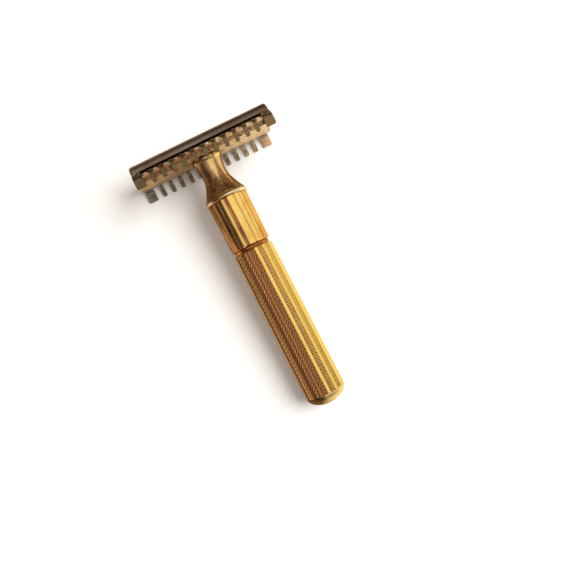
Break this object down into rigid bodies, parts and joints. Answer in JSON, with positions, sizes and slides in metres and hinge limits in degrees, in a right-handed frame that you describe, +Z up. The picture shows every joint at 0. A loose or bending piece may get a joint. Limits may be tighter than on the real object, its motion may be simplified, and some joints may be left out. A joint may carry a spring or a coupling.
{
  "type": "safety razor",
  "caption": "Double-edge safety razor with an open comb and two swing doors, opened by twisting the long knurled grip below a plain reeded barrel.",
  "frame": {"origin": "middle of the footprint box on the table, under the razor as it lies on its side", "axes": "+X along the head, +Y up the handle towards the head, +Z up from the table; the handle slopes down to the grip's end by 4.62 degrees"},
  "size_m": [0.0428, 0.0868, 0.0245],
  "materials": {
    "comb_brass": "tarnished olive brown over brass, brighter on the underside",
    "door_brass": "dark brown tarnish with a faint sheen",
    "neck_brass": "mottled brown tarnish with rubbed gold patches",
    "ring_gold": "pale rubbed gold plate",
    "barrel_gold": "polished gold plate, browned in the valleys",
    "collar_brass": "reddish brown plate",
    "grip_gold": "gold plate, knurled between plain ribs",
    "plug_gold": "gold plate rubbed through to brown",
    "tray_brass": "plain gold plate",
    "inner_brass": "plain machined brass",
    "inner_steel": "plain turned steel"
  },
  "bodies": {
    "head": {"comb_plate": "comb_brass", "neck": "neck_brass", "neck_ring": "ring_gold", "barrel": "barrel_gold", "joint_collar": "collar_brass", "core_tube": "inner_brass", "thrust_washer": "inner_steel", "retaining_clip": "inner_steel"},
    "grip": {"grip_sleeve": "grip_gold", "end_plug": "plug_gold", "drive_nut": "inner_brass", "nut_lock_ring": "inner_brass"},
    "lift": {"lift_rod": "inner_steel", "stop_washer": "inner_steel", "stop_nut": "inner_steel", "blade_tray": "tray_brass", "locating_rail": "tray_brass", "locating_studs": "tray_brass", "bracket_left": "tray_brass", "bracket_right": "tray_brass"},
    "rear_door": {"rear_door": "door_brass", "rear_hinge_pins": "inner_steel"},
    "front_door": {"front_door": "door_brass", "front_hinge_pins": "inner_steel"}
  },
  "joints": [
    {"name": "grip_twist", "type": "hinge", "parent": "head", "child": "grip", "pos_m": [0, 0.00704, 0.00991], "axis": [0, -0.9967, -0.0806], "range_deg": [0, 315]},
    {"name": "tray_lift", "type": "slide", "parent": "head", "child": "lift", "axis": [0, 0.9967, 0.0806], "range_m": [0, 0.0035]},
    {"name": "rear_door_swing", "type": "hinge", "parent": "lift", "child": "rear_door", "pos_m": [0, 0.0408, 0.00361], "axis": [-1, 0, 0], "range_deg": [0, 90]},
    {"name": "front_door_swing", "type": "hinge", "parent": "lift", "child": "front_door", "pos_m": [0, 0.03935, 0.02155], "axis": [1, 0, 0], "range_deg": [0, 90]}
  ],
  "couplings": [
    {"joint": "tray_lift", "follows": "grip_twist", "m_per_rad": 0.00063662},
    {"joint": "rear_door_swing", "follows": "grip_twist", "ratio": 0.28571},
    {"joint": "front_door_swing", "follows": "grip_twist", "ratio": 0.28571}
  ]
}
